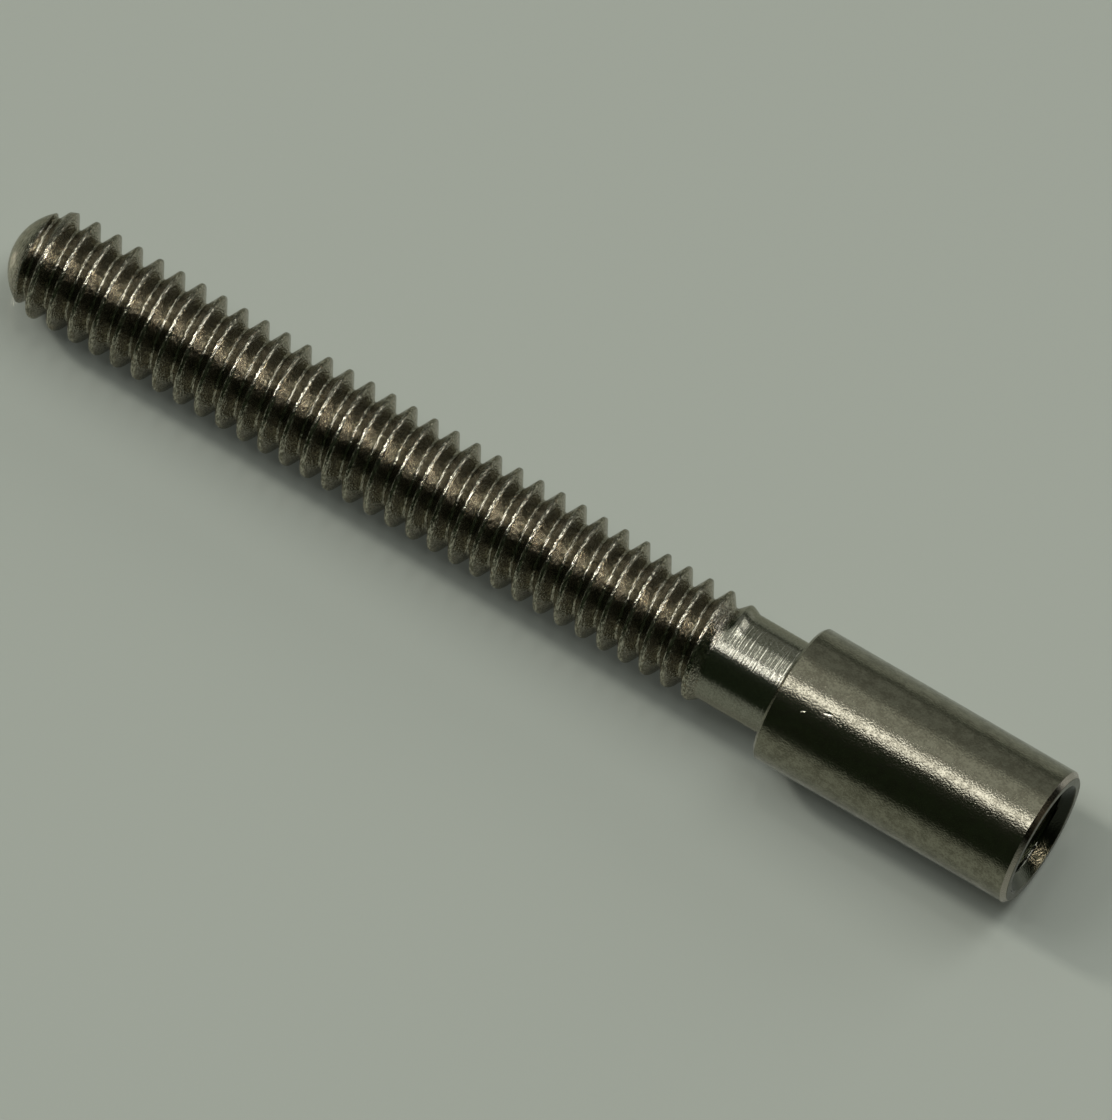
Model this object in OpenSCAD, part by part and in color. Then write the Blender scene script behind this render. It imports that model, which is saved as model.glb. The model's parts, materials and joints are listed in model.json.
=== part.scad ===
/* [Threads] */
// Nominal diameter of both threads
thread_d = 1.2; // [1.12:0.01:1.3]
// Pitch of both threads
pitch = 0.25; // [0.24:0.005:0.3]
// How much narrower than nominal the post's crests are
crest_allowance = 0.02; // [0:0.005:0.04]
// Depth of the post's thread, from crest to root
post_thread_depth = 0.16; // [0.13:0.005:0.17]
// Width of the flat on the post's crests
post_crest_w = 0.035; // [0.02:0.005:0.045]
// Turns over which the post's groove runs out into the neck
post_runout = 0.35; // [0.25:0.05:1]
// Angle about the axis at which the post's groove ends
post_runout_angle = 177; // [0:1:359]
// Depth of the socket's thread, from its crest to its root
socket_thread_depth = 0.1; // [0.08:0.005:0.12]
// Width of the flat at the root of the socket's thread
socket_root_w = 0.03; // [0.02:0.005:0.04]
// Turns over which the socket's groove runs out towards the bottom
socket_runout = 1.5; // [1:0.25:2]
// Angle about the axis at which the socket's groove ends
socket_runout_angle = 0; // [0:1:359]

/* [Post] */
// Length from the domed tip to the end of the thread's groove
thread_len = 8.30; // [5:0.01:10]
// Length from the end of the groove to the sleeve
neck_len = 0.85; // [0.6:0.01:1.5]
// Diameter of the plain neck
neck_d = 1.04; // [0.98:0.01:1.08]
// How much the radius of the domed tip is more than the crests' radius
tip_relief = 0.01; // [0.005:0.005:0.1]
// Diameter of the spigot that is pressed into the sleeve
spigot_d = 0.64; // [0.5:0.01:0.66]
// Chamfer at the spigot's end
spigot_edge = 0.04; // [0.02:0.005:0.08]

/* [Sleeve] */
// Outside diameter of the sleeve
sleeve_d = 1.5; // [1.44:0.01:1.8]
// Length of the sleeve
sleeve_len = 2.97; // [2.5:0.01:4]
// Chamfer on the sleeve's shoulder
shoulder_edge = 0.03; // [0.02:0.005:0.04]
// Chamfer round the sleeve's mouth
mouth_edge = 0.05; // [0.02:0.005:0.06]
// Thickness of the end wall that holds the spigot
end_wall = 0.56; // [0.4:0.01:0.8]
// Angle of the drilled hole's point
drill_point_angle = 118; // [90:1:140]
// Length of plain drilled hole that is left below the thread
untapped_len = 0.2; // [0.1:0.01:0.4]
// How much the countersink is wider than the thread, on each side
countersink_margin = 0.02; // [0.01:0.005:0.03]
// Angle of the countersink at the mouth
countersink_angle = 90; // [60:1:120]

/* [Hidden] */
$fn = 64;
turned_steel = [0.62, 0.60, 0.57];
satin_steel = [0.66, 0.64, 0.61];
// Half of the angle between a thread's flanks
flank_angle = 30;
// Flat steps in one turn of a thread
turn_steps = 32;
// How far a thread's plain end lies inside the metal that it joins
seam = 0.002;
// Room that a cutting shape takes beyond the metal
tool_run = 0.1;
// Room between the tap's own core and the wall of the drilled hole
tap_core_gap = 0.04;
crest_r = (thread_d - crest_allowance) / 2;
root_r = crest_r - post_thread_depth;
neck_r = neck_d / 2;
tip_r = crest_r + tip_relief;
spigot_r = spigot_d / 2;
sleeve_r = sleeve_d / 2;
socket_root_r = thread_d / 2;
drill_r = socket_root_r - socket_thread_depth;
countersink_r = socket_root_r + countersink_margin;
countersink_len = (countersink_r - drill_r) / tan(countersink_angle / 2);
// The chamfer round the mouth takes at most half of the ring outside the countersink
mouth_break = min(mouth_edge, (sleeve_r - countersink_r) / 2);
drill_point_len = (drill_r - spigot_r) / tan(drill_point_angle / 2);
drill_len = sleeve_len - end_wall - drill_point_len;
socket_thread_len = drill_len - untapped_len;
tap_core_r = drill_r - tap_core_gap;
// Heights along the axis, from the domed tip
shoulder_z = thread_len + neck_len;
mouth_z = shoulder_z + sleeve_len;

function ring_point(angle, r, z) = [r * cos(angle), r * sin(angle), z];

// A right-hand screw whose groove ends at height len and angle end_angle. There its flanks
// have faded, over runout turns, into a plain end of radius end_r that is lead longer.
module screw(core_r, top_r, top_w, len, runout, end_angle, end_r, lead) {
  turns = ceil(len / pitch) + 1;
  steps = turns * turn_steps;
  flank_w = (top_r - core_r) * tan(flank_angle);
  core_w = pitch - top_w - 2 * flank_w;
  // The corners of the thread's profile within one pitch, from the groove on
  corners = [
    [core_r, -core_w / 2],
    [core_r, core_w / 2],
    [top_r, core_w / 2 + flank_w],
    [top_r, core_w / 2 + flank_w + top_w]
  ];
  n = len(corners);
  function angle(i) = end_angle + 360 * (i - steps) / turn_steps;
  function height(i) = len + pitch * (i - steps) / turn_steps;
  function fade(i) = min(1, max(0, (steps - i) / turn_steps / runout));
  function corner(i, j) =
    ring_point(angle(i), end_r + (corners[j][0] - end_r) * fade(i), height(i) + corners[j][1]);

  // A helical line of points for each corner, the first line with one turn more,
  // and a ring of points at either end
  lines = [for (i = [0:steps]) for (j = [0:n - 1]) corner(i, j)];
  last_turn = [for (i = [steps + 1:steps + turn_steps]) corner(i, 0)];
  low_ring = [for (i = [0:turn_steps - 1]) ring_point(angle(i), core_r, height(0) - pitch)];
  high_ring = [for (i = [0:turn_steps - 1]) ring_point(angle(i), end_r, len + pitch + lead)];
  low = len(lines) + turn_steps;
  high = low + turn_steps;
  function at(i, j) = j == n ? at(i + turn_steps, 0)
    : i > steps ? len(lines) + i - steps - 1
    : n * i + j;
  function low_at(i) = low + i % turn_steps;
  function high_at(i) = high + i % turn_steps;

  flanks = [for (i = [0:steps - 1]) for (j = [0:n - 1]) each [
    [at(i, j), at(i, j + 1), at(i + 1, j)],
    [at(i + 1, j), at(i, j + 1), at(i + 1, j + 1)]
  ]];
  // Plain bands join the first and last turns to the rings, except for one step each
  low_band = [for (i = [0:turn_steps - 2]) each [
    [low_at(i), at(i, 0), low_at(i + 1)],
    [low_at(i + 1), at(i, 0), at(i + 1, 0)]
  ]];
  high_band = [for (i = [1:turn_steps - 1]) each [
    [high_at(i), high_at(i + 1), at(steps + i, 0)],
    [at(steps + i, 0), high_at(i + 1), at(steps + i + 1, 0)]
  ]];
  // In that step a fan takes up the pitch by which a turn climbs
  low_hub = low_at(turn_steps - 1);
  low_fan = [
    [low_hub, at(turn_steps - 1, 0), at(turn_steps, 0)],
    for (j = [n - 1:-1:0]) [low_hub, at(0, j + 1), at(0, j)],
    [low_hub, at(0, 0), low_at(0)]
  ];
  high_hub = high_at(1);
  high_fan = [
    [high_hub, at(steps + 1, 0), at(steps, 0)],
    for (j = [0:n - 1]) [high_hub, at(steps, j), at(steps, j + 1)],
    [high_hub, at(steps, n), high_at(0)]
  ];
  caps = [
    [for (i = [0:turn_steps - 1]) low_at(i)],
    [for (i = [turn_steps - 1:-1:0]) high_at(i)]
  ];
  polyhedron(
    points = concat(lines, last_turn, low_ring, high_ring),
    faces = concat(flanks, low_band, low_fan, high_band, high_fan, caps),
    convexity = 10
  );
}

// What the form tool takes off to leave a domed tip
module tip_cut() {
  difference() {
    translate([0, 0, -3 * pitch]) cylinder(r = tip_r + tool_run, h = 3 * pitch + tip_r);
    translate([0, 0, tip_r]) sphere(tip_r);
  }
}

// The neck and the spigot, turned in one
module neck_and_spigot() {
  foot_z = shoulder_z + end_wall;
  rotate_extrude() polygon([
    [0, thread_len + pitch],
    [neck_r, thread_len + pitch],
    [neck_r, shoulder_z],
    [spigot_r, shoulder_z],
    [spigot_r, foot_z - spigot_edge],
    [spigot_r - spigot_edge, foot_z],
    [0, foot_z]
  ]);
}

module sleeve_blank() {
  rotate_extrude() polygon([
    [0, shoulder_z],
    [sleeve_r - shoulder_edge, shoulder_z],
    [sleeve_r, shoulder_z + shoulder_edge],
    [sleeve_r, mouth_z - mouth_break],
    [sleeve_r - mouth_break, mouth_z],
    [0, mouth_z]
  ]);
}

// The spigot's hole, the drilled hole with its point, and the countersink
module sleeve_hole() {
  slope = tan(countersink_angle / 2);
  rotate_extrude() polygon([
    [0, shoulder_z - tool_run],
    [spigot_r, shoulder_z - tool_run],
    [spigot_r, shoulder_z + end_wall],
    [drill_r, shoulder_z + end_wall + drill_point_len],
    [drill_r, mouth_z - countersink_len],
    [countersink_r, mouth_z],
    [countersink_r + tool_run * slope, mouth_z + tool_run],
    [0, mouth_z + tool_run]
  ]);
}

// The shape that the tap leaves, entering at the mouth
module tap_cut() {
  translate([0, 0, mouth_z]) rotate([180, 0, 0])
    screw(tap_core_r, socket_root_r, socket_root_w, socket_thread_len,
      socket_runout, socket_runout_angle, tap_core_r, 0);
}

// Lays the axis along X, with the centre of the mouth at the origin
module lie_down() {
  translate([-mouth_z, 0, 0]) rotate([0, 90, 0]) children();
}

module threaded_post() {
  color(turned_steel) lie_down() {
    difference() {
      screw(root_r, crest_r, post_crest_w, thread_len,
        post_runout, post_runout_angle, neck_r - seam, tool_run);
      tip_cut();
    }
    neck_and_spigot();
  }
}

module socket_sleeve() {
  color(satin_steel) lie_down() difference() {
    sleeve_blank();
    sleeve_hole();
    tap_cut();
  }
}

threaded_post();
socket_sleeve();
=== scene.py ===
# %% [markdown]
# A winding stem extension is a watchmaker's part, hardly longer than a fingernail is wide. One end is
# a threaded post that takes the crown, the other is a short sleeve whose tapped socket takes the
# stem that is too short. This lesson dresses its packed model for one photograph-like picture: the
# camera first, then the table and the lamps, then the finishes, then the two turned pieces.
#
# The packed model comes in as a fixed frame. Everything is in metres and stays where the frame has it.

# %% Load the packed model
import json
import math

import bmesh
import bpy
from mathutils import Matrix, Vector


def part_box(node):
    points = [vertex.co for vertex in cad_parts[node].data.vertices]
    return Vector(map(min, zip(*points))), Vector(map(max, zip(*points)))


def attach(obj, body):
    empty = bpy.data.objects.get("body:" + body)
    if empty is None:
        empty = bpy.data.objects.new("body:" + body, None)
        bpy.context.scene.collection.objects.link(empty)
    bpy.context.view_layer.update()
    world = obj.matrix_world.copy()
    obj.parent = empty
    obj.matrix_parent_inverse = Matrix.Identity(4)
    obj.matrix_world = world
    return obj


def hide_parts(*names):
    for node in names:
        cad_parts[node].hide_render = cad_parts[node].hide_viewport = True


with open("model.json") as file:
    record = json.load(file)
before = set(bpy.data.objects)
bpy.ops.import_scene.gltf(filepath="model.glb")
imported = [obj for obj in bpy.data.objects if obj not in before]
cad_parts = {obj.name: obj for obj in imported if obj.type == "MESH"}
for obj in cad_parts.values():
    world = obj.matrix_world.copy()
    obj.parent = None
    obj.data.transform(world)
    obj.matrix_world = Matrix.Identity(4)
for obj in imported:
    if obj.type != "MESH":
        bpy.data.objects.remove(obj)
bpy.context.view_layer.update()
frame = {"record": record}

MM = 0.001
MICRON = 0.001 * MM

# %% [markdown]
# The part lies along X. The mouth of its socket is the origin, and the domed tip is at the far end of
# the box. Where the pieces begin and end, and the radii of the sleeve and its hole, are read off the
# frame and never typed in again, so the picture and the part can't drift apart. Sizes that the frame
# doesn't hold, such as a thread's, are named where they are first needed.

# %% Measure the frame
post_low, post_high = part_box("threaded_post")
sleeve_low, sleeve_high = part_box("socket_sleeve")
mount = {m["name"]: m for m in frame["record"]["mounts"]}
tip_x = post_low.x
mouth_x = sleeve_high.x
shoulder_x = sleeve_low.x
sleeve_r = -sleeve_low.z
drill_r = mount["socket_thread"]["dims"]["r_mm"] * MM
print(f"overall {(mouth_x - tip_x) / MM:.2f} mm, sleeve {(mouth_x - shoulder_x) / MM:.2f} mm long,"
      f" {2 * sleeve_r / MM:.2f} mm across, post ends at x = {post_high.x / MM:.2f} mm")

# %% [markdown]
# A close-up of a part this small is taken from a long way off for its size, so it shows almost no
# perspective. A long lens gives that, and unlike an orthographic camera it can be walked round the
# part later. The place of the part's middle in the picture fixes where the camera aims.

# %% Set up the camera
FRAME_PX = (1112, 1120)
PX_PER_MM = 99.85
MIDDLE_PX = (528.6, 540.1)
CAMERA_TURN = 31.94
CAMERA_HEIGHT = 68.89
LENS_MM = 1300.0
SENSOR_MM = 36.0
# The nearest and the farthest that the camera sees, in shares of its distance
CLIP_NEAR = 0.01
CLIP_FAR = 20


def camera_axes(turn, height):
    """The directions right, up and back of a camera that has no roll, from its two angles in degrees."""
    a, e = math.radians(turn), math.radians(height)
    back = Vector((math.sin(a) * math.cos(e), -math.cos(a) * math.cos(e), math.sin(e)))
    right = Vector((math.cos(a), math.sin(a), 0))
    return right, back.cross(right), back


def standing(spot, axes):
    """The matrix of an object that stands at a spot, with its own X, Y and Z along the three axes."""
    return Matrix.Translation(spot) @ Matrix(axes).transposed().to_4x4()


right, up, back = camera_axes(CAMERA_TURN, CAMERA_HEIGHT)
off_right = (MIDDLE_PX[0] - FRAME_PX[0] / 2) / PX_PER_MM * MM
off_up = (FRAME_PX[1] / 2 - MIDDLE_PX[1]) / PX_PER_MM * MM
aim = Vector(((tip_x + mouth_x) / 2, 0, 0)) - right * off_right - up * off_up
distance = LENS_MM / SENSOR_MM * max(FRAME_PX) / PX_PER_MM * MM
camera_data = bpy.data.cameras.new("close_up")
camera_data.lens = LENS_MM
camera_data.sensor_width = SENSOR_MM
camera_data.clip_start = distance * CLIP_NEAR
camera_data.clip_end = distance * CLIP_FAR
camera = bpy.data.objects.new("close_up", camera_data)
camera.matrix_world = standing(aim + back * distance, (right, up, back))
bpy.context.scene.collection.objects.link(camera)
bpy.context.scene.camera = camera
print(f"camera {distance / MM:.0f} mm away, frame {max(FRAME_PX) / PX_PER_MM:.2f} mm high")

# %% [markdown]
# Many finishes and both threads follow formulas. Blender works a formula out with Math nodes, one for
# each sum or product, and a page of those is hard to read. This small class writes the nodes while
# the formula itself stays in plain Python. It works in shader trees and in Geometry Nodes alike.


# %% Write formulas as nodes
class Term:
    """A number in a node tree. Arithmetic on it adds Math nodes to the tree."""

    def __init__(self, tree, socket):
        self.tree, self.socket = tree, socket

    def math(self, operation, *others):
        made = self.tree.nodes.new("ShaderNodeMath")
        made.operation = operation
        for value, place in zip((self, *others), made.inputs):
            plug(self.tree, value, place)
        return Term(self.tree, made.outputs[0])

    def __add__(self, other):
        return self.math("ADD", other)

    def __sub__(self, other):
        return self.math("SUBTRACT", other)

    def __rsub__(self, other):
        return self * -1 + other

    def __mul__(self, other):
        return self.math("MULTIPLY", other)

    def __truediv__(self, other):
        return self.math("DIVIDE", other)

    def least(self, other):
        return self.math("MINIMUM", other)

    def most(self, other):
        return self.math("MAXIMUM", other)

    def within(self, low, high):
        return self.most(low).least(high)

    def mixed(self, other, share):
        return self + (other - self) * share

    def ramp(self, start, width):
        """0 up to start and 1 beyond start + width. A negative width turns the ramp round."""
        return ((self - start) / width).within(0.0, 1.0)

    def chosen(self, low, high):
        """low where this is 0, high where it is 1, and in between for what lies between."""
        return self * (high - low) + low

    def spread(self, contrast, mean=0.5):
        """A noise, which keeps close to a half, with more contrast about a mean of one's own."""
        return (self - 0.5) * contrast + mean


def plug(tree, value, place):
    """Links a Term or a socket to an input, or writes a plain number there."""
    if isinstance(value, Term):
        value = value.socket
    if isinstance(value, bpy.types.NodeSocket):
        tree.links.new(value, place)
    else:
        place.default_value = value


def add_node(tree, kind, inputs=None, **settings):
    """Adds a node, sets its options, and fills the inputs that are named or numbered."""
    made = tree.nodes.new(kind)
    for name, value in settings.items():
        setattr(made, name, value)
    for name, value in (inputs or {}).items():
        plug(tree, value, made.inputs[name])
    return made


print("a Term knows", [name for name in vars(Term) if not name.startswith("_")])

# %% [markdown]
# The part lies on a pale, slightly glossy sheet. Light soaks into it a little, and a faint glow of its
# own stands for that in the shadows. The part is thicker at the sleeve than at the thread, so it rests
# on the edge of the sleeve's shoulder and on a crest near the tip. Here the part stays level, as the
# frame has it, and the table takes the slope of that line.

# %% Lay the table under the part
THREAD_CREST_R = 0.59 * MM
# How far from the tip the crest is that the part rests on
REST_CREST = 0.5 * MM
SHOULDER_EDGE = 0.03 * MM
TABLE_R = 0.9
TABLE_CORNERS = 96
TABLE_GAP = 0.5 * MICRON
SHEET = (0.40, 0.432, 0.38)
SHEET_ROUGHNESS = 0.15
SHEET_GLOSS = 0.3
SHEET_GLOW, SHEET_GLOW_STRENGTH = (0.95, 1, 0.92), 0.03
sleeve_rest = Vector((shoulder_x + SHOULDER_EDGE, 0, -sleeve_r))
tip_rest = Vector((tip_x + REST_CREST, 0, -THREAD_CREST_R))
along_table = (sleeve_rest - tip_rest).normalized()
side = Vector((0, 1, 0))
table_up = along_table.cross(side)
table_up = table_up if table_up.z > 0 else -table_up
table_centre = (sleeve_rest + tip_rest) / 2 - table_up * TABLE_GAP


def paint(name, colour, metallic, roughness):
    """A material with its Principled shader, whose constants sit on the shader's own sockets."""
    material = bpy.data.materials.new(name)
    material.use_nodes = True
    shader = material.node_tree.nodes["Principled BSDF"]
    shader.inputs["Base Color"].default_value = (*colour, 1)
    shader.inputs["Metallic"].default_value = metallic
    shader.inputs["Roughness"].default_value = roughness
    return material, material.node_tree, shader


sheet_paint, tree, shader = paint("pale_sheet", SHEET, metallic=0, roughness=SHEET_ROUGHNESS)
shader.inputs["Specular IOR Level"].default_value = SHEET_GLOSS
shader.inputs["Emission Color"].default_value = (*SHEET_GLOW, 1)
shader.inputs["Emission Strength"].default_value = SHEET_GLOW_STRENGTH
mesh = bpy.data.meshes.new("table")
corners = [table_centre + (along_table * math.cos(a) + side * math.sin(a)) * TABLE_R
           for a in (math.tau * k / TABLE_CORNERS for k in range(TABLE_CORNERS))]
mesh.from_pydata(corners, [], [range(TABLE_CORNERS)])
mesh.materials.append(sheet_paint)
table = bpy.data.objects.new("table", mesh)
bpy.context.scene.collection.objects.link(table)
print(f"table slopes {math.degrees(math.acos(table_up.z)):.2f} degrees")

# %% [markdown]
# A polished rod is a mirror bent round on itself, so its light and dark bands are a picture of the
# room. Each lamp here is placed by the direction in which the rod sees it: a turn round the part's
# axis, from overhead towards the far side, and a lean along the axis, towards the mouth.
#
# The smooth rod sees only what leans a little to the tip. There a narrow, mild strip makes its bright
# line, and two faint fills make the grey above it. The boxes over the tip, over the mouth and far off
# light the table, and the rod catches them only where its surface is tilted: on the rings of the neck
# and the edges of the thread. A small strong box far past the tip glows in the grooves, and a warm low
# window beyond the mouth reaches into the countersink.

# %% Hang the lamps
LAMP_DISTANCE = 1.2
# Watts of a square metre of lamp whose brightness is 1
LAMP_POWER = 4
PLAIN = (1, 1, 1)
CREAM = (1, 0.96, 0.9)
GOLDEN = (1, 0.88, 0.68)
PALE_GREEN = (0.97, 1, 0.92)
PALER_GREEN = (0.96, 1, 0.93)
ROOM = (0.018, 0.026, 0.014)
# Turn and lean in degrees, width round the axis and length along it in degrees, brightness, colour
LAMPS = {
    "strip_overhead": (-6.5, -10, 15.5, 18, 2.35, PLAIN),
    "box_over_tip": (-6, -32, 23, 20, 3.2, PLAIN),
    "box_past_tip": (0.5, -49, 9, 11, 31.0, CREAM),
    "low_window": (59, 70, 12, 24, 4.0, GOLDEN),
    "box_over_mouth": (21, 11, 42, 18, 2.8, PLAIN),
    "box_far": (64, 26, 30, 36, 1.2, PLAIN),
    "fill_near": (23, -15, 34, 50, 0.39, PALE_GREEN),
    "fill_far": (62, -10, 44, 60, 0.167, PALER_GREEN),
}


def lamp(name, turn, lean, width, length, brightness, colour):
    """A soft box seen from the part at turn degrees round its axis and lean degrees towards the mouth.
    width and length are the angles that it fills, round the axis and along it."""
    turn, lean = math.radians(turn), math.radians(lean)
    toward = Vector((math.sin(lean), math.sin(turn) * math.cos(lean), math.cos(turn) * math.cos(lean)))
    across = Vector((0, math.cos(turn), -math.sin(turn)))
    data = bpy.data.lights.new(name, "AREA")
    data.shape = "RECTANGLE"
    data.size = 2 * LAMP_DISTANCE * math.cos(lean) * math.tan(math.radians(width / 2))
    data.size_y = 2 * LAMP_DISTANCE * math.tan(math.radians(length / 2))
    data.energy = LAMP_POWER * brightness * data.size * data.size_y
    data.color = colour
    made = bpy.data.objects.new(name, data)
    made.matrix_world = standing(toward * LAMP_DISTANCE, (across, toward.cross(across), toward))
    made.visible_camera = False
    bpy.context.scene.collection.objects.link(made)


for name, settings in LAMPS.items():
    lamp(name, *settings)
world = bpy.data.worlds.new("room")
world.use_nodes = True
world.node_tree.nodes["Background"].inputs["Color"].default_value = (*ROOM, 1)
bpy.context.scene.world = world
bpy.context.scene.view_settings.view_transform = "Standard"
print(len(LAMPS), "lamps hang", LAMP_DISTANCE, "m away")

# %% [markdown]
# Both pieces are the same grey steel, but the tools left them different, and a few tones are painted
# light and shade. A finish is a few pairs of colours, each pair mixed by a noise, with ramps that say
# where one skin ends and the next begins. All of it reads Object coordinates, so it stays on the metal
# from every side.
#
# A noise that is squeezed along the axis and stretched across it makes rings without ever asking for
# an angle, so it has no seam. Heights are in microns, so a finish can be checked against a real one.

# %% Make tools for the finishes
STEEL = (0.26, 0.244, 0.188)
STEEL_ROUGHNESS = 0.13
# A mark times this is full over the inner half of its size
WIDELY = 2


def object_noise(tree, feature, detail=2.0, turned_by=0.0):
    """Noise on Object coordinates, for a feature's size along X, Y and Z in mm, turned about Z."""
    place = add_node(tree, "ShaderNodeTexCoord").outputs["Object"]
    scale = add_node(tree, "ShaderNodeMapping", {"Vector": place}, vector_type="TEXTURE")
    scale.inputs["Scale"].default_value = [size * MM for size in feature]
    scale.inputs["Rotation"].default_value = (0.0, 0.0, turned_by)
    made = add_node(tree, "ShaderNodeTexNoise", {"Vector": scale.outputs[0], "Scale": 1.0, "Detail": detail})
    return Term(tree, made.outputs["Fac"])


def axis_place(tree):
    """How far along the axis a point lies, how far to its side, and how far from it, as Terms."""
    place = add_node(tree, "ShaderNodeTexCoord")
    part = add_node(tree, "ShaderNodeSeparateXYZ", {0: place.outputs["Object"]}).outputs
    y, z = Term(tree, part["Y"]), Term(tree, part["Z"])
    return Term(tree, part["X"]), y, (y * y + z * z).math("SQRT")


def mark(tree, centre, half, turned_by=0.0):
    """1 at the centre of a small ellipsoid and 0 outside it, for its centre and half sizes in mm and its
    turn about Z."""
    place = add_node(tree, "ShaderNodeTexCoord").outputs["Object"]
    inside = add_node(tree, "ShaderNodeMapping", {"Vector": place}, vector_type="TEXTURE")
    inside.inputs["Location"].default_value = [c * MM for c in centre]
    inside.inputs["Rotation"].default_value = (0.0, 0.0, turned_by)
    inside.inputs["Scale"].default_value = [h * MM for h in half]
    far = add_node(tree, "ShaderNodeVectorMath", {0: inside.outputs[0]}, operation="LENGTH")
    return (1 - Term(tree, far.outputs["Value"])).within(0.0, 1.0)


def raise_surface(tree, shader, microns):
    """Bends the light as a relief would whose height is given in microns."""
    made = add_node(tree, "ShaderNodeBump", {"Height": microns, "Strength": 1.0, "Distance": MICRON})
    plug(tree, made.outputs[0], shader.inputs["Normal"])


def mix_colours(tree, share, one, two):
    """One colour where share is 0 or less, the other where it is 1 or more."""
    made = add_node(tree, "ShaderNodeMix", data_type="RGBA", clamp_factor=True)
    plug(tree, share, made.inputs["Factor"])
    places = [socket for socket in made.inputs if socket.type == "RGBA"]
    for colour, place in zip((one, two), places):
        plug(tree, colour if isinstance(colour, bpy.types.NodeSocket) else (*colour, 1), place)
    return next(socket for socket in made.outputs if socket.type == "RGBA")


print("tools for the finishes ready")

# %% [markdown]
# The post is one turned piece with four skins. Its neck has fine rings that run round it. The thread
# is cut rougher: its crests and grooves are streaked, and painted darker towards the far side as shade,
# its flanks are speckled, and coppery stains sit here and there. The dome is calmer. Each skin could
# be a material of its own, but ramps within one material blend them without a seam.

# %% Finish the post
NECK_BRIGHT, NECK_DULL = (0.37, 0.36, 0.30), (0.23, 0.222, 0.178)
CREST_BRIGHT, CREST_DULL = (0.54, 0.51, 0.42), (0.15, 0.141, 0.107)
FLANK_BRIGHT, FLANK_DULL = (0.45, 0.425, 0.36), (0.15, 0.139, 0.11)
COPPER = (0.33, 0.26, 0.18)
GRAZING_TINT = (0.8, 0.78, 0.72)
# Where a skin begins, and how far it takes to blend into the next
NECK_FROM, NECK_BLEND = 8.36 * MM, 0.05 * MM
DOME_TO, DOME_BLEND = 0.26 * MM, 0.08 * MM
FLANK_FROM_R, FLANK_TO_R, FLANK_BLEND = 0.445 * MM, 0.58 * MM, 0.02 * MM
# Painted shade: how far to the far side it starts darkening the crests, and how far it takes to grow full
SHADE_AWAY_FROM, SHADE_AWAY_BLEND = 0.10 * MM, 0.24 * MM
# Sizes of the noises' features along X, Y and Z, in mm
POST_GRAIN = (0.018, 0.018, 0.018)
STREAK = (0.012, 0.05, 0.05)
RING = (0.013, 0.6, 0.6)
STAIN = (0.03, 0.03, 0.03)
# Heights in microns
NECK_GRAIN_HEIGHT, THREAD_GRAIN_HEIGHT = 1.3, 2.5
STREAK_HEIGHT, DOME_STREAKS_LESS = 7.0, 4.0
RING_HEIGHT = 3.0
# Roughness, from 0 for a mirror to 1 for chalk
NECK_ROUGHNESS, THREAD_ROUGHNESS = 0.15, 0.18
# How strongly a noise tells two colours apart, and how dull it is on the whole
NECK_CONTRAST = 3
FLANK_CONTRAST, FLANK_DULLED = 6, 0.55
CREST_CONTRAST, CREST_DULLED = 7, 0.6
DOME_CONTRAST, DOME_DULLED = 2.5, 0.35
# How much the painted shade darkens the crests on the far side
AWAY_PAINTED_SHADE = 0.5
STAIN_CONTRAST, STAIN_FROM = 6, 0.58

turned, tree, shader = paint("bright_turned", STEEL, metallic=1, roughness=STEEL_ROUGHNESS)
shader.inputs["Specular Tint"].default_value = (*GRAZING_TINT, 1)
along, sideways, from_axis = axis_place(tree)
on_thread = along.ramp(tip_x + NECK_FROM, -NECK_BLEND)
on_dome = along.ramp(tip_x + DOME_TO, -DOME_BLEND)
on_flank = from_axis.ramp(FLANK_FROM_R, FLANK_BLEND) * from_axis.ramp(FLANK_TO_R, -FLANK_BLEND) * on_thread
# Painted shade: the crests get darker towards the far side
painted_shade_away = sideways.ramp(SHADE_AWAY_FROM, SHADE_AWAY_BLEND)
grain = object_noise(tree, POST_GRAIN)
streaks = object_noise(tree, STREAK)
rings = object_noise(tree, RING) * (1 - on_thread)
raise_surface(tree, shader, grain * on_thread.chosen(NECK_GRAIN_HEIGHT, THREAD_GRAIN_HEIGHT)
              + streaks * (on_thread * STREAK_HEIGHT - on_dome * DOME_STREAKS_LESS) + rings * RING_HEIGHT)
plug(tree, on_thread.chosen(NECK_ROUGHNESS, THREAD_ROUGHNESS), shader.inputs["Roughness"])
# The crests' streaks, with the painted shade added on the far side
crest_streaks_and_shade = streaks.spread(on_dome.chosen(CREST_CONTRAST, DOME_CONTRAST),
                              on_dome.chosen(CREST_DULLED, DOME_DULLED)) + painted_shade_away * AWAY_PAINTED_SHADE
neck_skin = mix_colours(tree, grain.spread(NECK_CONTRAST), NECK_BRIGHT, NECK_DULL)
crest_skin = mix_colours(tree, crest_streaks_and_shade, CREST_BRIGHT, CREST_DULL)
flank_skin = mix_colours(tree, grain.spread(FLANK_CONTRAST, FLANK_DULLED), FLANK_BRIGHT, FLANK_DULL)
metal = mix_colours(tree, on_flank, mix_colours(tree, on_thread, neck_skin, crest_skin), flank_skin)
stain = (object_noise(tree, STAIN) - STAIN_FROM) * STAIN_CONTRAST * on_thread
plug(tree, mix_colours(tree, stain, metal, COPPER), shader.inputs["Base Color"])
print(turned.name, "has", len(tree.nodes), "nodes")
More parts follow.
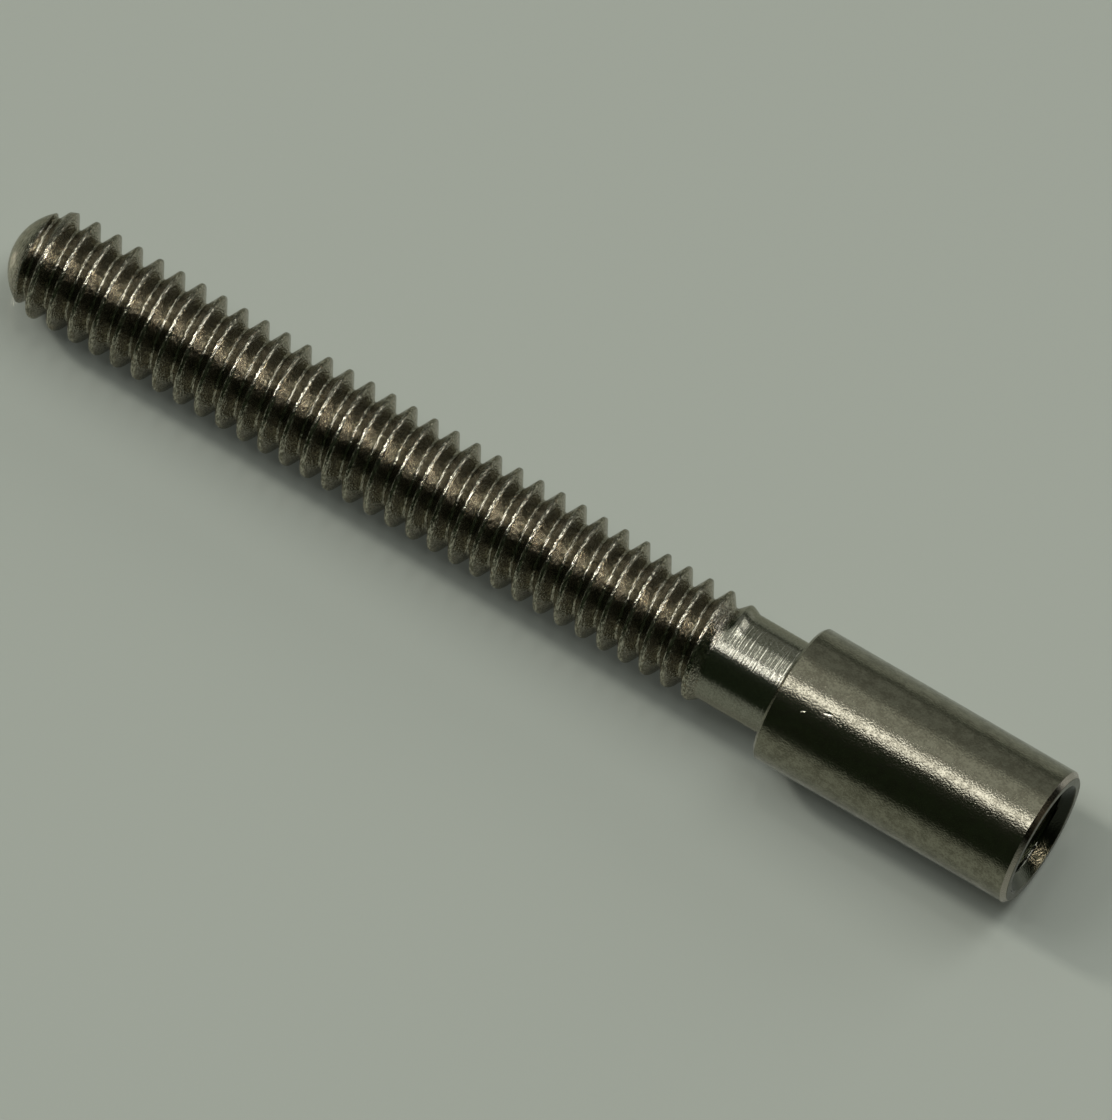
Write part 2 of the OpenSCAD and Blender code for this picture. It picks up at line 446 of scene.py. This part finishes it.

# %% [markdown]
# The sleeve is ground to a fine grain, with broad cloudy patches where it is duller and rougher. Two
# small nicks near the shoulder are bare metal. Round the mouth the skins change fast: the broken edge
# has painted shade on top and painted light further down, and the face is dark. The countersink is
# duller too, and painted darker as shade on its far side and round the fresh scratches low on its wall,
# which catch the low window as golden strokes. They are a noise drawn out along the stroke, and shown
# only in a small patch. The bore beyond is painted lighter, so its thread shows in the dark hole.

# %% Finish the sleeve
BRIGHT, DULL = (0.32, 0.302, 0.234), (0.19, 0.177, 0.132)
FACE = (0.13, 0.125, 0.095)
# The broken edge at the mouth: painted shade at its top and bottom, painted light on its sides
EDGE_PAINTED_SHADE, EDGE_PAINTED_LIGHT = (0.035, 0.032, 0.025), (0.42, 0.38, 0.33)
# The countersink's duller tone, and painted shade for its far side and round the scratches
CONE, CONE_PAINTED_SHADE = (0.12, 0.125, 0.10), (0.035, 0.037, 0.028)
# Painted light: the bore is lighter than the steel, so its thread shows in the dark hole
BORE_PAINTED_LIGHT = (0.34, 0.35, 0.28)
FRESH = (0.62, 0.59, 0.50)
COUNTERSINK_R = 0.62 * MM
HOLE_BLEND = 0.01 * MM
# Depths below the mouth at which the bore, the face and the broken edge begin
BORE_FROM = 0.13 * MM
FACE_FROM, EDGE_FROM, MOUTH_BLEND = 0.006 * MM, 0.054 * MM, 0.003 * MM
# Distances to the side at which the cone's painted shade and the edge's painted light begin
FAR_SHADE_FROM, EDGE_LIGHT_FROM, SIDE_BLEND = 0.08 * MM, 0.30 * MM, 0.12 * MM
# Sizes of the noises' features along X, Y and Z, in mm
SLEEVE_GRAIN = (0.022, 0.018, 0.018)
CLOUD = (0.12, 0.09, 0.09)
SCRATCH = (0.08, 0.007, 0.5)
SCRATCH_TURN = math.radians(62)
# Centres and half sizes in mm
# Where the scratches lie; the countersink round them gets painted shade as well
SCRATCH_AND_SHADE_PATCH = ((-0.07, 0.0, -0.55), (0.10, 0.22, 0.12))
NICKS = [((-2.392, -0.232, 0.713), (0.055, 0.02, 0.02), 0.3),
         ((-2.628, -0.328, 0.675), (0.034, 0.007, 0.02), 0.5)]
# Heights in microns
SLEEVE_GRAIN_HEIGHT, CLOUD_HEIGHT, NICK_DEPTH = 2.1, 1.0, 4.0
# How much rougher than plain steel
EDGE_ROUGHER, FACE_ROUGHER, PATCH_ROUGHER = 0.12, 0.05, 0.09
# How strongly the noises tell two colours apart, and how much of a scratch is bare metal
PATCH_CONTRAST = 2.5
SCRATCH_CONTRAST, SCRATCH_FROM, SCRATCH_SHARE = 12, 0.52, 0.45

satin, tree, shader = paint("satin_ground", STEEL, metallic=1, roughness=STEEL_ROUGHNESS)
along, sideways, from_axis = axis_place(tree)
in_hole = from_axis.ramp(COUNTERSINK_R, -HOLE_BLEND)
# Painted light inside the bore
painted_light_in_bore = along.ramp(mouth_x - BORE_FROM, -HOLE_BLEND) * in_hole
on_face = along.ramp(mouth_x - FACE_FROM, MOUTH_BLEND)
on_edge = along.ramp(mouth_x - EDGE_FROM, MOUTH_BLEND) * (1 - in_hole)
# Painted shade on the countersink's far side
painted_shade_far = sideways.ramp(FAR_SHADE_FROM, SIDE_BLEND)
# Painted light on the broken edge's sides
edge_painted_light_share = sideways.math("ABSOLUTE").ramp(EDGE_LIGHT_FROM, SIDE_BLEND)
strokes = object_noise(tree, SCRATCH, detail=1.0, turned_by=SCRATCH_TURN)
# The patch of the scratches, which also takes the painted shade
scratch_patch_and_shade = (mark(tree, *SCRATCH_AND_SHADE_PATCH) * WIDELY).within(0.0, 1.0)
scratches = ((strokes - SCRATCH_FROM) * SCRATCH_CONTRAST).within(0.0, 1.0) * scratch_patch_and_shade * SCRATCH_SHARE
grain = object_noise(tree, SLEEVE_GRAIN, detail=1.0)
cloud = object_noise(tree, CLOUD)
first_nick, second_nick = (mark(tree, *nick) for nick in NICKS)
nicks = first_nick.most(second_nick)
raise_surface(tree, shader, grain * SLEEVE_GRAIN_HEIGHT + cloud * CLOUD_HEIGHT - nicks * NICK_DEPTH)
patches = (cloud.spread(PATCH_CONTRAST, 0.0) + grain.spread(PATCH_CONTRAST)).within(0.0, 1.0)
plug(tree, on_edge * EDGE_ROUGHER + on_face * FACE_ROUGHER + patches * PATCH_ROUGHER + STEEL_ROUGHNESS,
     shader.inputs["Roughness"])
skin = mix_colours(tree, patches, BRIGHT, DULL)
# The broken edge, with painted shade at top and bottom and painted light on its sides
skin = mix_colours(tree, on_edge, skin, mix_colours(tree, edge_painted_light_share, EDGE_PAINTED_SHADE, EDGE_PAINTED_LIGHT))
skin = mix_colours(tree, on_face, skin, FACE)
skin = mix_colours(tree, nicks * WIDELY, skin, FRESH)
# The countersink, with painted shade on its far side and round the scratches
skin = mix_colours(tree, in_hole, skin, mix_colours(tree, painted_shade_far.most(scratch_patch_and_shade), CONE, CONE_PAINTED_SHADE))
# Painted light in the bore
skin = mix_colours(tree, painted_light_in_bore, skin, BORE_PAINTED_LIGHT)
plug(tree, mix_colours(tree, scratches, skin, FRESH), shader.inputs["Base Color"])
print(satin.name, "has", len(tree.nodes), "nodes")

# %% [markdown]
# A thread is the one shape here that follows a rule all the way: a profile of root, flank, crest and
# flank, carried round the axis while it climbs one pitch a turn. A screw modifier could sweep it, but
# it can't fade the groove out into a plain neck or cut it off under a dome. Geometry Nodes can. The
# tree lays a flat grid, whose one side counts turns and whose other side crosses a single pitch, and
# rolls it up by formula. Neighbouring turns then meet edge to edge and are merged.
#
# The same tree cuts the post's outside thread and, turned end for end, the socket's inside one. Its
# inputs are named, and the values here are the ones that hold where a thread gives none of its own.

# %% List the thread's sizes
THREAD_SIZES = {
    "Pitch": 0.25 * MM,
    "Core Radius": 0.43 * MM,
    "Crest Radius": THREAD_CREST_R,
    "Crest Flat": 0.035 * MM,
    "Flank Angle": math.radians(30),
    # How round the profile's corners are, as a share of its height
    "Rounding": 0.12,
    # How far the grid's lines are drawn to the root and the crest, from 0 to 1
    "Gathering": 0.7,
    # How much its crests are worn, and the turning rings, which start at a height along the axis
    "Wear": 0.0,
    "Ring Height": 0.0,
    "Ring Spacing": 0.018 * MM,
    "Rings From": 0.0,
    # The plain end, and how and where the groove fades into it
    "Plain Radius": 0.52 * MM,
    "Length": 8.30 * MM,
    "Fade Turns": 1.5,
    "Fade Bluntness": 1.0,
    "End Angle": 0.0,
    # Where the surface starts and stops
    "First Height": 0.0,
    "Last Height": 8.5 * MM,
    # A dome as large as this cuts nothing off, and a flare as small as this opens nothing
    "Dome Radius": 1.0,
    "Flare Radius": 0.0,
    "Flare Slope": 1.0,
    # Where on X its height is 0, and whether it runs towards +X or -X
    "Base": 0.0,
    "Direction": 1.0,
}
# Turns of the grid, how many of them lie past the groove's end, steps in a turn and cells in a pitch
THREAD_COUNTS = {"Turns": 36, "Turns After": 2, "Steps": 72, "Cells": 24}
print(len(THREAD_SIZES), "sizes and", len(THREAD_COUNTS), "counts")

# %% [markdown]
# The formula has three parts. The rise says how high the profile stands at a place across the pitch.
# The fade says how much of that height is left near the groove's end. The limits then cut the whole to
# the dome, the countersink and the two ends.

# %% Build the thread's tree
WEAR_PER_TURN = 14
# How much more the wear narrows the crest than it lowers it
WEAR_ON_WIDTH = 4
RINGS_BLEND = 0.04 * MM
TURNS_MERGE = 0.2 * MICRON
TWO_WAVES = 2 * math.tau


def thread_inputs(tree):
    """Gives the tree an input for each size and count, and returns their sockets by name."""
    kinds = {"Geometry": "NodeSocketGeometry", **dict.fromkeys(THREAD_SIZES, "NodeSocketFloat"),
             **dict.fromkeys(THREAD_COUNTS, "NodeSocketInt"), "Material": "NodeSocketMaterial"}
    for name, kind in kinds.items():
        tree.interface.new_socket(name, in_out="INPUT", socket_type=kind)
    tree.interface.new_socket("Geometry", in_out="OUTPUT", socket_type="NodeSocketGeometry")
    return add_node(tree, "NodeGroupInput").outputs


def line_noise(tree, place):
    """Noise along a line."""
    made = add_node(tree, "ShaderNodeTexNoise", {"W": place, "Scale": 1.0, "Detail": 2.0},
                    noise_dimensions="1D")
    return Term(tree, made.outputs["Fac"])


def threaded_radius(tree, size, turn, share):
    """The thread's radius at a turn, and at a share of the pitch across it."""

    def faded(full, past):
        """A radius of the full thread, as it is while the groove fades into the plain end."""
        fade = (past * -1 / size["Fade Turns"]).within(0.0, 1.0).math("POWER", size["Fade Bluntness"])
        return size["Plain Radius"] + (full - size["Plain Radius"]) * fade

    wear = line_noise(tree, turn * WEAR_PER_TURN)
    flank = (size["Crest Radius"] - size["Core Radius"]) * size["Flank Angle"].math("TANGENT")
    core_flat = size["Pitch"] - size["Crest Flat"] - flank * 2 + (wear - 0.5) * size["Wear"] * WEAR_ON_WIDTH
    from_groove = share.least(1 - share) * size["Pitch"]
    rise = (from_groove - core_flat / 2) / flank
    rise = rise.math("SMOOTH_MAX", 0.0, size["Rounding"]).math("SMOOTH_MIN", 1.0, size["Rounding"])
    in_next_groove = share.math("GREATER_THAN", 0.5)
    low = faded(size["Core Radius"], turn + in_next_groove)
    return low.mixed(faded(size["Crest Radius"] - wear * size["Wear"], turn), rise)


def limited(tree, size, radius, height):
    """The thread's radius and height, cut to its two ends, its dome and its flare."""
    rings = line_noise(tree, height / size["Ring Spacing"]) - 0.5
    radius = radius + rings * size["Ring Height"] * height.ramp(size["Rings From"], RINGS_BLEND)
    radius = radius.mixed(size["Plain Radius"], height.math("GREATER_THAN", size["Last Height"]))
    height = height.within(size["First Height"], size["Last Height"])
    short = size["Dome Radius"] - height.least(size["Dome Radius"])
    dome = (size["Dome Radius"] * size["Dome Radius"] - short * short).most(0.0).math("SQRT")
    return radius.least(dome).most(size["Flare Radius"] - height * size["Flare Slope"]), height


def thread_tree():
    """The node group that rolls up a thread. Its surface is left open at both ends."""
    tree = bpy.data.node_groups.new("rolled_thread", "GeometryNodeTree")
    given = thread_inputs(tree)
    size = {name: Term(tree, given[name]) for name in [*THREAD_SIZES, *THREAD_COUNTS]}

    grid = add_node(tree, "GeometryNodeMeshGrid", {
        "Size X": size["Turns"], "Size Y": 1.0,
        "Vertices X": size["Turns"] * size["Steps"] + 1, "Vertices Y": size["Cells"] + 1})
    place = add_node(tree, "GeometryNodeInputPosition").outputs[0]
    place = add_node(tree, "ShaderNodeSeparateXYZ", {0: place}).outputs
    turn = Term(tree, place["X"]) - size["Turns"] / 2 + size["Turns After"]
    even = Term(tree, place["Y"]) + 0.5
    # More of the grid's lines are gathered near the root and the crest, but not past the thread's end
    gathering = size["Gathering"] * (turn * -1).within(0.0, 1.0)
    share = even - (even * TWO_WAVES).math("SINE") * (gathering / TWO_WAVES)

    height = size["Length"] + (turn + share) * size["Pitch"]
    radius, height = limited(tree, size, threaded_radius(tree, size, turn, share), height)
    angle = size["End Angle"] + turn * math.tau
    spot = add_node(tree, "ShaderNodeCombineXYZ", {
        "X": size["Base"] + size["Direction"] * height,
        "Y": size["Direction"] * radius * angle.math("SINE"),
        "Z": radius * angle.math("COSINE") * -1})

    chain = {
        "GeometryNodeSetPosition": {"Position": spot.outputs[0]},
        "GeometryNodeMergeByDistance": {"Distance": TURNS_MERGE},
        "GeometryNodeSetShadeSmooth": {},
        "GeometryNodeRealizeInstances": {},
        "GeometryNodeSetMaterial": {"Material": given["Material"]},
        "NodeGroupOutput": {},
    }
    made = grid
    for kind, inputs in chain.items():
        made = add_node(tree, kind, {"Geometry": made.outputs[0], **inputs})
    return tree


thread = thread_tree()
print("thread tree has", len(thread.nodes), "nodes")

# %% [markdown]
# A tree is only a recipe. To get a plain mesh out of it, a host object carries it in a modifier for a
# moment. The modifier's inputs are set by their identifiers, the evaluated mesh is copied out, and the
# host goes. What stays is an ordinary mesh that the turned parts can be joined to.


# %% Roll up one thread
def roll_thread(material, values):
    """Runs the tree with its own sizes where values gives none, and returns the finished mesh."""
    host = bpy.data.objects.new("thread_host", bpy.data.meshes.new("thread_host"))
    bpy.context.scene.collection.objects.link(host)
    modifier = host.modifiers.new("Thread", "NODES")
    modifier.node_group = thread
    wanted = {**THREAD_SIZES, **THREAD_COUNTS, **values, "Material": material}
    for item in thread.interface.items_tree:
        if item.in_out == "INPUT" and item.name in wanted:
            modifier[item.identifier] = wanted[item.name]
    seen = host.evaluated_get(bpy.context.evaluated_depsgraph_get())
    made = bpy.data.meshes.new_from_object(seen)
    host.modifiers.remove(modifier)
    bpy.data.objects.remove(host)
    return made


print("ready to roll up", thread.name)

# %% [markdown]
# What isn't thread is turned: a short outline of lengths and radii, spun round the axis. Its rings have
# the same number of points, at the same angles, as the ends of the thread, so the two merge into one
# closed surface. No real edge is perfectly sharp, so each corner of an outline may be rounded. A ring
# just beyond the rounding keeps it from bending the light on the long straight face that follows.

# %% Round an outline
SUPPORT = 0.012 * MM
ARC_STEPS = 4


def rounded(corners):
    """Turns corners of (length along the axis, radius, rounding) into points, with arcs at the corners."""
    spots = [Vector(corner[:2]) for corner in corners]
    made = [spots[0]]
    for k in range(1, len(corners) - 1):
        before, here, after = spots[k - 1], spots[k], spots[k + 1]
        rounding = corners[k][2] if len(corners[k]) > 2 else 0.0
        if not rounding:
            made.append(here)
            continue
        back_way, on_way = (before - here).normalized(), (after - here).normalized()
        half = back_way.angle(on_way) / 2
        reach = rounding / math.tan(half)
        centre = here + (back_way + on_way).normalized() * rounding / math.sin(half)
        first, last = here + back_way * reach, here + on_way * reach
        if (before - first).length > 2 * SUPPORT:
            made.append(first + back_way * SUPPORT)
        bend = math.pi - 2 * half
        for n in range(ARC_STEPS + 1):
            done = bend * n / ARC_STEPS
            arm = (first - centre) * math.sin(bend - done) + (last - centre) * math.sin(done)
            made.append(centre + arm / math.sin(bend))
        if (after - last).length > 2 * SUPPORT:
            made.append(last + on_way * SUPPORT)
    made.append(spots[-1])
    return made


print("a rounded corner takes", ARC_STEPS + 1, "points")

# %% [markdown]
# Blender can spin an outline by itself, but here the spin has to start at the angle at which the thread
# ends. So the rings are laid one by one, and a point on the axis is a ring of one. Each piece is then
# finished the same way: seams merged, faces turned outwards, and sharp edges kept sharp.


# %% Spin an outline and finish a piece
SEAM_MERGE = 0.3 * MICRON
SHARP_FROM = math.radians(35)


def spin(bm, outline, steps, end_angle, base, direction):
    """Adds the surface that an outline of (length along the axis, radius) sweeps out."""
    rings = []
    for along, radius in outline:
        count = steps if radius > 0 else 1
        angles = [end_angle + math.tau * k / steps for k in range(count)]
        rings.append([bm.verts.new((base + direction * along, direction * radius * math.sin(a),
                                    -radius * math.cos(a))) for a in angles])
    for one, two in zip(rings, rings[1:]):
        for k in range(steps):
            n = (k + 1) % steps
            corners = [one[k % len(one)], one[n % len(one)], two[n % len(two)], two[k % len(two)]]
            corners = list(dict.fromkeys(corners))
            if len(corners) > 2:
                bm.faces.new(corners).smooth = True


def finish_piece(bm, name, material, node):
    """Merges the seams, turns the faces outwards, and puts the piece in place of its CAD node."""
    bmesh.ops.remove_doubles(bm, verts=bm.verts, dist=SEAM_MERGE)
    bmesh.ops.recalc_face_normals(bm, faces=bm.faces)
    open_edges = sum(not e.is_manifold for e in bm.edges)
    for edge in bm.edges:
        edge.smooth = len(edge.link_faces) == 2 and edge.calc_face_angle() < SHARP_FROM
    mesh = bpy.data.meshes.new(name)
    bm.to_mesh(mesh)
    bm.free()
    mesh.materials.clear()
    mesh.materials.append(material)
    piece = bpy.data.objects.new(name, mesh)
    bpy.context.scene.collection.objects.link(piece)
    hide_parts(node)
    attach(piece, "root")
    triangles = sum(len(p.vertices) - 2 for p in mesh.polygons)
    print(f"{name}: {triangles} triangles, {open_edges} open edges")
    return piece


print("turning helpers ready")

# %% [markdown]
# The post is the longer piece. Its tip is a dome that the crests run out on. Its groove fades into the
# neck over half a turn, and bluntly, where the cutter was drawn out. The edge at the neck's foot is
# just broken, which leaves the fine dark line where it meets the sleeve. The spigot goes on into the
# sleeve's end wall, out of sight.

# %% Make the post
POST_STEPS = 72
POST_END_ANGLE = math.radians(177)
DOME_R = 0.60 * MM
DOME_CAP = 0.15 * MM
DOME_STEPS = 10
NECK_R = THREAD_SIZES["Plain Radius"]
NECK_EDGE = 0.015 * MM
# How far before the shoulder the thread's mesh gives way to the spun one
NECK_FOOT = 0.04 * MM
SPIGOT_R = 0.32 * MM
post_len = post_high.x - tip_x
shoulder_at = shoulder_x - tip_x
neck_end = shoulder_at - NECK_FOOT

bm = bmesh.new()
bm.from_mesh(roll_thread(turned, {
    "Steps": POST_STEPS, "Cells": 30, "Turns": 38, "Turns After": 4, "End Angle": POST_END_ANGLE,
    "Fade Turns": 0.55, "Fade Bluntness": 0.45, "Wear": 5.0 * MICRON,
    "Ring Height": 8.0 * MICRON, "Rings From": NECK_FROM, "Dome Radius": DOME_R,
    "First Height": DOME_CAP, "Last Height": neck_end, "Base": tip_x}))
cap_angle = math.acos(1 - DOME_CAP / DOME_R)
dome = [(DOME_R * (1 - math.cos(a)), DOME_R * math.sin(a))
        for a in (cap_angle * k / DOME_STEPS for k in range(DOME_STEPS + 1))]
spin(bm, dome, POST_STEPS, POST_END_ANGLE, tip_x, 1)
neck = [(neck_end, NECK_R), (shoulder_at, NECK_R, NECK_EDGE), (shoulder_at, SPIGOT_R),
        (post_len, SPIGOT_R), (post_len, 0)]
spin(bm, rounded(neck), POST_STEPS, POST_END_ANGLE, tip_x, 1)
post = finish_piece(bm, "threaded_post_turned", turned, "threaded_post")

# %% [markdown]
# The sleeve is a thimble of steel. Its outside is plain, with both edges just broken. Inside, from the
# mouth on, are a countersink, the thread for the stem, the rest of the drilled hole with its point,
# and the hole that the post's spigot fills. It is made from the mouth backwards, so its direction is -1.

# %% Make the sleeve
SLEEVE_STEPS = 96
MOUTH_EDGE = 0.05 * MM
EDGE_ROUNDING = 0.004 * MM
MOUTH_ROUNDING = 0.005 * MM
SOCKET_ROOT_R = 0.60 * MM
SOCKET_ROOT_FLAT = 0.03 * MM
SOCKET_THREAD = 2.10 * MM
SOCKET_PLAIN = 2.29 * MM
DRILLED = 2.30 * MM
sleeve_len = mouth_x - shoulder_x
end_wall_at = sleeve_len - (post_high.x - shoulder_x)

bm = bmesh.new()
bm.from_mesh(roll_thread(satin, {
    "Steps": SLEEVE_STEPS, "Cells": 20, "Turns": 12, "Turns After": 2, "Core Radius": drill_r,
    "Crest Radius": SOCKET_ROOT_R, "Crest Flat": SOCKET_ROOT_FLAT, "Plain Radius": drill_r,
    "Length": SOCKET_THREAD, "Last Height": SOCKET_PLAIN, "Flare Radius": COUNTERSINK_R,
    "Base": mouth_x, "Direction": -1.0}))
outside = [(SOCKET_PLAIN, drill_r), (DRILLED, drill_r), (end_wall_at, SPIGOT_R), (sleeve_len, SPIGOT_R),
           (sleeve_len, sleeve_r - SHOULDER_EDGE, EDGE_ROUNDING),
           (sleeve_len - SHOULDER_EDGE, sleeve_r, EDGE_ROUNDING),
           (MOUTH_EDGE, sleeve_r, MOUTH_ROUNDING),
           (0.0, sleeve_r - MOUTH_EDGE, EDGE_ROUNDING), (0.0, COUNTERSINK_R)]
spin(bm, rounded(outside), SLEEVE_STEPS, 0.0, mouth_x, -1)
sleeve = finish_piece(bm, "socket_sleeve_turned", satin, "socket_sleeve")

# %% [markdown]
# The box of the dressed model has to agree with that of the packed model, because a picture may not
# change a part's size.
